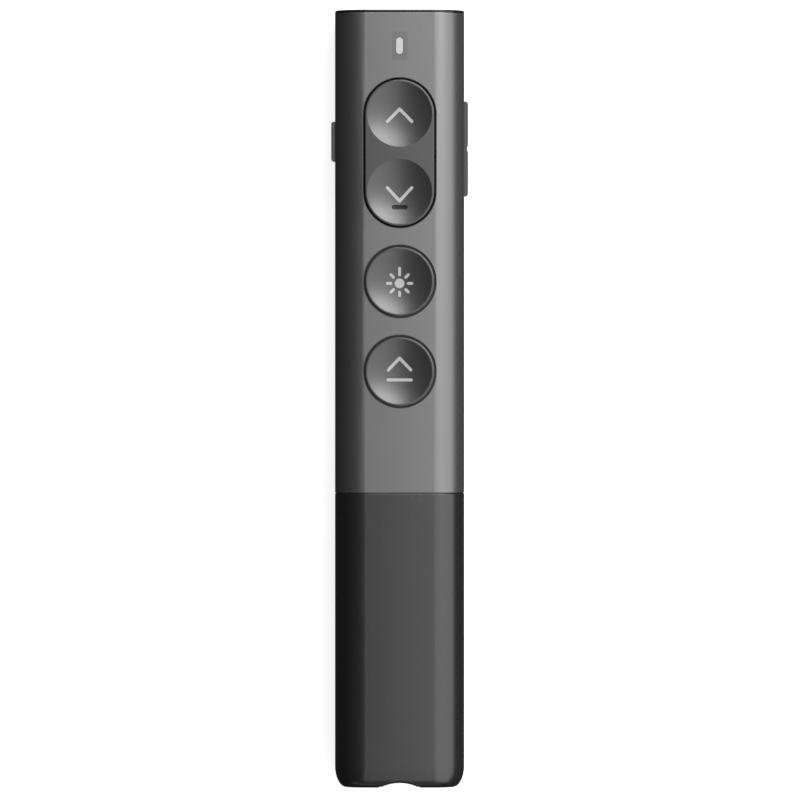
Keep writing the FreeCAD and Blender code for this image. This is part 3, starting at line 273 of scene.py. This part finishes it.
def moulded(name, colour, rough, grain_mm, depth_mm):
    """Injection-moulded plastic with a fine spark-eroded grain."""
    f = Finish(name)
    grain = f.noise(grain_mm, 3.0, 0.6)
    flow = f.noise(6.0, 2.0, 0.5)
    f.set(Base_Color=f.shades(flow * 0.7 + grain * 0.3, colour, 0.12),
          Roughness=(grain - 0.5) * 0.16 + (flow - 0.5) * 0.08 + rough)
    f.bump(grain, depth_mm, 0.6)
    return f


def metal(name, colour, rough, along):
    """Drawn, stamped or turned metal with fine lines; along says how far they run on each axis."""
    f = Finish(name)
    lines = f.noise(0.35, 4.0, 0.7, tuple(1.0 / s for s in along))
    stain = f.noise(3.0, 2.0, 0.5)
    f.set(Base_Color=f.shades(lines * 0.5 + stain * 0.5, colour, 0.10), Metallic=1.0,
          Roughness=(lines - 0.5) * 0.18 + (stain - 0.5) * 0.10 + rough)
    f.bump(lines, 0.006, 0.5)
    return f


def clear(name, colour, rough, transmission):
    """Tinted or frosted clear plastic, with a faint flow of the moulding in it."""
    f = Finish(name)
    flow = f.noise(1.5, 2.0, 0.5)
    f.set(Base_Color=f.shades(flow, colour, 0.06), Roughness=(flow - 0.5) * 0.05 + rough)
    f.set(Transmission_Weight=transmission, IOR=1.5)
    f.bump(flow, 0.004, 0.4)
    return f


def circuit(name, colour):
    """Solder mask over copper: fine tracks show through as paler, slightly raised lines."""
    f = Finish(name)
    x, y = f.axes()[:2]
    waver = f.noise(5.0, 1.0, 0.5)
    tracks = ((x * 900.0 + waver * 2.4).math("SINE") * (y * 240.0 + waver * 1.5).math("COSINE")).size()
    copper = tracks.below(0.22)
    grain = f.noise(0.1, 2.0, 0.5)
    f.set(Base_Color=f.blend(copper, colour, [c * 1.9 + 0.01 for c in colour[:3]]),
          Roughness=(grain - 0.5) * 0.12 + 0.38)
    f.bump(copper * 0.7 + grain * 0.3, 0.02, 0.6)
    return f


def cell_print(name, colour):
    """The cell's printed film: a dark body, a copper band towards the positive end, fine pin stripes."""
    f = Finish(name)
    y = f.axes()[1]
    low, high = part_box("cell_jacket")
    band = y.above(low.y + (high.y - low.y) * BAND_FROM)
    stripe = (y - (low.y + (high.y - low.y) * STRIPE_AT)).size().below(STRIPE_HALF)
    tail_stripe = (y - (low.y + TAIL_STRIPE_AT)).size().below(TAIL_STRIPE_HALF)
    grain = f.noise(0.2, 2.0, 0.5)
    base = f.blend(band, colour, BAND_COPPER)
    base = f.blend((stripe + tail_stripe).clamped(), base, STRIPE_PALE)
    f.set(Base_Color=base, Roughness=(grain - 0.5) * 0.1 + 0.3)
    f.set(Coat_Weight=0.3, Coat_Roughness=0.1)
    f.bump(grain, 0.006, 0.4)
    return f


def key_paint(name, colour):
    """Key paint, a little rougher than the casing, with painted shade coloured into the engraved dash."""
    f = satin_paint(name, colour, 0.38, 0.8)
    x, y = f.axes()[:2]
    dash_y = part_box("page_down_legend")[0][1] - DASH_BELOW_CHEVRON
    past_end = (x.size() - DASH_HALF_LENGTH).math("MAXIMUM", 0.0)
    dash_shade_mask = (past_end ** 2.0 + (y - dash_y).size() ** 2.0).below(DASH_RADIUS ** 2)
    base = f.shader.inputs["Base Color"].links[0].from_socket
    # painted shade: the engraved dash is coloured near black where shade would fall in it
    f.set(Base_Color=f.blend(dash_shade_mask, base, DASH_PAINTED_SHADE))
    return f


class ClickerColours(bpy.types.PropertyGroup):
    """The colours of the pieces that show"""
    body: FloatVectorProperty(name="Body", description="Satin paint of the upper body",
                              default=(0.235, 0.235, 0.237), subtype="COLOR", min=0.0, max=1.0)
    sleeve: FloatVectorProperty(name="Sleeve", description="Paint of the battery sleeve",
                                default=(0.092, 0.092, 0.094), subtype="COLOR", min=0.0, max=1.0)
    keys: FloatVectorProperty(name="Keys", description="Paint of the front keys",
                              default=(0.11, 0.11, 0.112), subtype="COLOR", min=0.0, max=1.0)
    side_keys: FloatVectorProperty(name="Volume rocker", description="Paint of the rocker on the right",
                                   default=(0.07, 0.07, 0.072), subtype="COLOR", min=0.0, max=1.0)
    # painted light: the slide shares its part paint with the rocker but is much lighter, standing in for
    # light on the unlit left flank
    power_knob: FloatVectorProperty(name="Power slide", description="Paint of the slide on the left, lightened as painted light",
                                    default=(0.42, 0.42, 0.422), subtype="COLOR", min=0.0, max=1.0)
    legends: FloatVectorProperty(name="Symbols", description="Ink of the key symbols",
                                 default=(0.46, 0.46, 0.46), subtype="COLOR", min=0.0, max=1.0)
    nose: FloatVectorProperty(name="Nose", description="Black cap across the nose",
                              default=(0.012, 0.012, 0.013), subtype="COLOR", min=0.0, max=1.0)


class ClickerStage(bpy.types.PropertyGroup):
    """The camera's height and the light"""
    camera_height: FloatProperty(name="Camera height", description="Height of the camera over the key face",
                                 default=1.5, unit="LENGTH")
    side_power: FloatProperty(name="Near light", description="Watts of the long light close by on the right",
                              default=0.39, min=0.0)
    high_power: FloatProperty(name="High light", description="Watts of the light up on the right of the nose",
                              default=2.9, min=0.0)
    fill_power: FloatProperty(name="Fill light",
                              description="Watts of each weak light past the nose and the tail",
                              default=0.08, min=0.0)
    under_power: FloatProperty(name="Light below", description="Watts of the wide light under the floor",
                               default=4.0, min=0.0)
    glow: FloatProperty(name="Floor glow", description="How much of the floor's white is its own",
                        default=0.88, min=0.0, max=1.0)


def cover(node, finish):
    """Give one CAD node a finish of its own."""
    materials = frame["nodes"][node].data.materials
    materials.clear()
    materials.append(finish.material)


def dress(slots, finish):
    """Give every CAD node of these material slots one finish."""
    for node, slot in SLOT_OF.items():
        if slot in slots:
            cover(node, finish)


class CLICKER_OT_casing(bpy.types.Operator):
    """Paint the upper shells and the battery sleeve"""
    bl_idname = "clicker.casing"
    bl_label = "Casing"

    def execute(self, context):
        colours = context.scene.clicker_colours
        dress({"body_grey"}, satin_paint("body satin paint", colours.body))
        dress({"sleeve_dark"}, satin_paint("sleeve satin paint", colours.sleeve, 0.29))
        dress({"nose_black"}, moulded("nose gloss black", colours.nose, 0.16, 0.3, 0.003))
        dress({"indicator_grey"}, moulded("indicator smoked plastic", (0.155, 0.155, 0.157),
                                          0.32, 0.2, 0.004))
        return {"FINISHED"}


class CLICKER_OT_keys(bpy.types.Operator):
    """Paint the front keys, their symbols and the side keys"""
    bl_idname = "clicker.keys"
    bl_label = "Keys"

    def execute(self, context):
        colours = context.scene.clicker_colours
        dress({"key_grey"}, key_paint("key satin paint", colours.keys))
        dress({"side_key_grey"}, satin_paint("volume rocker paint", colours.side_keys, 0.42))
        # painted light: a much lighter copy of the side key paint, standing in for light that does not reach
        # the left flank
        cover("power_knob", satin_paint("power knob satin metal", colours.power_knob, 0.5, 0.5))
        dress({"legend_grey"}, moulded("symbol ink", colours.legends, 0.55, 0.1, 0.004))
        return {"FINISHED"}


class CLICKER_OT_optics(bpy.types.Operator):
    """Finish the laser's window and lens, the light pipe and the indicator lamp"""
    bl_idname = "clicker.optics"
    bl_label = "Optics"

    def execute(self, context):
        dress({"window_red"}, clear("laser window red", (0.85, 0.04, 0.03), 0.08, 0.45))
        dress({"lens_glass"}, clear("lens glass", (0.95, 0.97, 0.97), 0.02, 0.95))
        pipe = clear("light pipe frosted", (0.58, 0.58, 0.58), 0.35, 0.1)
        pipe.set(Emission_Color=(1.0, 1.0, 1.0, 1.0), Emission_Strength=0.03)
        dress({"pipe_white"}, pipe)
        dress({"led_white"}, moulded("lamp body", (0.8, 0.8, 0.74), 0.3, 0.2, 0.004))
        return {"FINISHED"}


class CLICKER_OT_inside(bpy.types.Operator):
    """Finish the board, the switches, the cell, its contacts and the receiver"""
    bl_idname = "clicker.inside"
    bl_label = "Inside"

    def execute(self, context):
        dress({"board_green"}, circuit("board solder mask", (0.015, 0.10, 0.045)))
        for slot, name, colour, rough, grain_mm, depth_mm in PLASTICS:
            dress({slot}, moulded(name, colour, rough, grain_mm, depth_mm))
        for slots, name, colour, rough, along in METALS:
            dress(slots, metal(name, colour, rough, along))
        cover("page_axle", metal("black steel", (0.03, 0.03, 0.032), 0.45, LENGTHWISE))
        dress({"cell_print"}, cell_print("cell film", (0.010, 0.035, 0.020)))
        return {"FINISHED"}


class CLICKER_OT_pads(bpy.types.Operator):
    """Model the silicone pads under the front keys, with rounded rims"""
    bl_idname = "clicker.pads"
    bl_label = "Key pads"

    def execute(self, context):
        rubber = moulded("silicone pad", (0.42, 0.43, 0.44), 0.7, 0.15, 0.01)
        for node, joint in PRESSED_BY.items():
            low, high = (Vector(corner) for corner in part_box(node))
            middle = (low + high) / 2
            bpy.ops.object.select_all(action="DESELECT")
            bpy.ops.mesh.primitive_cylinder_add(vertices=64, radius=(high.x - low.x) / 2,
                                                depth=high.z - low.z, location=middle)
            pad = context.object
            pad.name = node + "_rubber"
            bpy.ops.object.transform_apply(location=True, rotation=True, scale=True)
            bpy.ops.object.modifier_add(type="BEVEL")
            pad.modifiers[-1].width = PAD_RIM
            pad.modifiers[-1].segments = 3
            bpy.ops.object.modifier_apply(modifier=pad.modifiers[-1].name)
            bpy.ops.object.shade_smooth_by_angle(angle=math.radians(40))
            pad.data.materials.append(rubber.material)
            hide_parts(node)
            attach(pad, "casing")
            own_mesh(pad)
        return {"FINISHED"}


class CLICKER_OT_aperture(bpy.types.Operator):
    """Model the thin bezel round the laser window: a turned ring with a bevelled mouth"""
    bl_idname = "clicker.aperture"
    bl_label = "Aperture bezel"

    def execute(self, context):
        low, high = (Vector(corner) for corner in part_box("laser_window"))
        centre = (low + high) / 2
        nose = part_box("nose_cap")[1][1]
        bpy.ops.object.select_all(action="DESELECT")
        bpy.ops.mesh.primitive_circle_add(vertices=96, radius=BEZEL_INNER, fill_type="NOTHING",
                                          location=(centre.x, nose - BEZEL_SUNK, centre.z),
                                          rotation=(math.radians(90), 0, 0))
        ring = context.object
        ring.name = "aperture_bezel"
        bpy.ops.object.transform_apply(location=True, rotation=True, scale=True)
        bpy.ops.object.mode_set(mode="EDIT")
        bpy.ops.mesh.select_all(action="SELECT")
        for grow, step in BEZEL_STEPS:
            bpy.ops.mesh.extrude_region_move(TRANSFORM_OT_translate={"value": (0, step, 0)})
            bpy.ops.transform.resize(value=(grow, 1.0, grow), center_override=(centre.x, nose, centre.z))
        bpy.ops.mesh.select_all(action="SELECT")
        bpy.ops.mesh.bridge_edge_loops()
        bpy.ops.mesh.select_all(action="SELECT")
        bpy.ops.mesh.remove_doubles(threshold=WELD)
        bpy.ops.mesh.normals_make_consistent(inside=False)
        bpy.ops.object.mode_set(mode="OBJECT")
        bpy.ops.object.shade_smooth_by_angle(angle=math.radians(35))
        ring.data.materials.append(moulded("bezel red tint", (0.34, 0.03, 0.03), 0.25, 0.2, 0.003).material)
        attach(ring, "casing")
        return {"FINISHED"}


def add_area(name, place, target, size, power):
    """A flat lamp at place that faces target."""
    lamp = bpy.data.lights.new(name, "AREA")
    lamp.shape = "RECTANGLE"
    lamp.size, lamp.size_y = size
    lamp.energy = power
    obj = bpy.data.objects.new(name, lamp)
    bpy.context.scene.collection.objects.link(obj)
    obj.location = place
    obj.rotation_euler = (Vector(target) - Vector(place)).to_track_quat("-Z", "Y").to_euler()


class CLICKER_OT_stage(bpy.types.Operator):
    """Set the pale floor, the soft lamps, the world and the camera straight above"""
    bl_idname = "clicker.stage"
    bl_label = "Stage"

    def execute(self, context):
        stage = context.scene.clicker_stage
        self.floor(stage)
        self.world(context.scene)
        for name, place, target, size, power in LAMPS:
            add_area(name, place, target, size, getattr(stage, power))
        self.camera(context, stage)
        return {"FINISHED"}

    def floor(self, stage):
        """A pale floor just under the clicker: it takes the shadow, and from below it is clear."""
        bpy.ops.object.select_all(action="DESELECT")
        bpy.ops.mesh.primitive_plane_add(size=FLOOR_SIZE, location=(0, 0, -FLOOR_BELOW))
        floor = bpy.context.object
        floor.name = "floor"
        bpy.ops.object.transform_apply(location=True, rotation=False, scale=False)
        material = bpy.data.materials.new("pale floor")
        f = Nodes(material)
        pale = f.node("ShaderNodeBsdfDiffuse", {}, {"Color": colour4([FLOOR_PALE] * 3)})
        glow = f.node("ShaderNodeEmission", {}, {"Color": WHITE, "Strength": stage.glow})
        lit = f.node("ShaderNodeAddShader", {}, {0: pale.outputs[0], 1: glow.outputs[0]})
        dim = f.node("ShaderNodeBsdfDiffuse", {}, {"Color": colour4([FLOOR_DIM] * 3)})
        top = f.node("ShaderNodeMixShader", {}, {0: f.seen_part(GLOSSY_SHARE), 1: dim.outputs[0],
                                                 2: lit.outputs[0]})
        under = f.node("ShaderNodeNewGeometry").outputs["Backfacing"]
        clear_side = f.node("ShaderNodeBsdfTransparent")
        whole = f.node("ShaderNodeMixShader", {}, {0: under, 1: top.outputs[0], 2: clear_side.outputs[0]})
        f.node("ShaderNodeOutputMaterial", {}, {"Surface": whole.outputs[0]})
        floor.data.materials.append(material)
        floor.visible_shadow = False

    def world(self, scene):
        """White where the camera sees it, and nearly black for the light it gives."""
        scene.world = bpy.data.worlds.new("studio")
        w = Nodes(scene.world)
        dim = w.node("ShaderNodeBackground", {}, {"Color": WHITE, "Strength": WORLD_DIM})
        bright = w.node("ShaderNodeBackground", {}, {"Color": WHITE, "Strength": 1.0})
        both = w.node("ShaderNodeMixShader", {}, {0: w.seen_part(GLOSSY_SHARE), 1: dim.outputs[0],
                                                  2: bright.outputs[0]})
        w.node("ShaderNodeOutputWorld", {}, {"Surface": both.outputs[0]})

    def camera(self, context, stage):
        """A long lens straight above the key face, with the nose up in the picture."""
        data = bpy.data.cameras.new("camera")
        data.sensor_width = SENSOR_MM
        data.lens = SENSOR_MM * stage.camera_height / PICTURE_WIDTH
        data.clip_end = 20.0
        camera = bpy.data.objects.new("camera", data)
        context.scene.collection.objects.link(camera)
        camera.location = CAMERA_AIM + Vector((0, 0, stage.camera_height))
        context.scene.camera = camera


class CLICKER_PT_panel(bpy.types.Panel):
    """Lists the steps that dress the clicker"""
    bl_idname = "CLICKER_PT_panel"
    bl_label = "Clicker"
    bl_space_type = "VIEW_3D"
    bl_region_type = "UI"
    bl_category = "Clicker"

    def draw(self, context):
        for group in (context.scene.clicker_colours, context.scene.clicker_stage):
            for name in group.bl_rna.properties.keys():
                if name not in {"rna_type", "name"}:
                    self.layout.prop(group, name)
        for step in STEPS:
            self.layout.operator(step.bl_idname)


STEPS = (CLICKER_OT_casing, CLICKER_OT_keys, CLICKER_OT_optics, CLICKER_OT_inside,
         CLICKER_OT_pads, CLICKER_OT_aperture, CLICKER_OT_stage)
CLASSES = (ClickerColours, ClickerStage) + STEPS + (CLICKER_PT_panel,)


def register():
    for cls in CLASSES:
        bpy.utils.register_class(cls)
    bpy.types.Scene.clicker_colours = PointerProperty(type=ClickerColours)
    bpy.types.Scene.clicker_stage = PointerProperty(type=ClickerStage)


def unregister():
    del bpy.types.Scene.clicker_stage
    del bpy.types.Scene.clicker_colours
    for cls in reversed(CLASSES):
        bpy.utils.unregister_class(cls)


def main():
    register()
    bpy.context.scene.view_settings.view_transform = "Standard"
    # named one by one, in the order of STEPS
    bpy.ops.clicker.casing()
    bpy.ops.clicker.keys()
    bpy.ops.clicker.optics()
    bpy.ops.clicker.inside()
    bpy.ops.clicker.pads()
    bpy.ops.clicker.aperture()
    bpy.ops.clicker.stage()


if __name__ == "__main__":
    main()
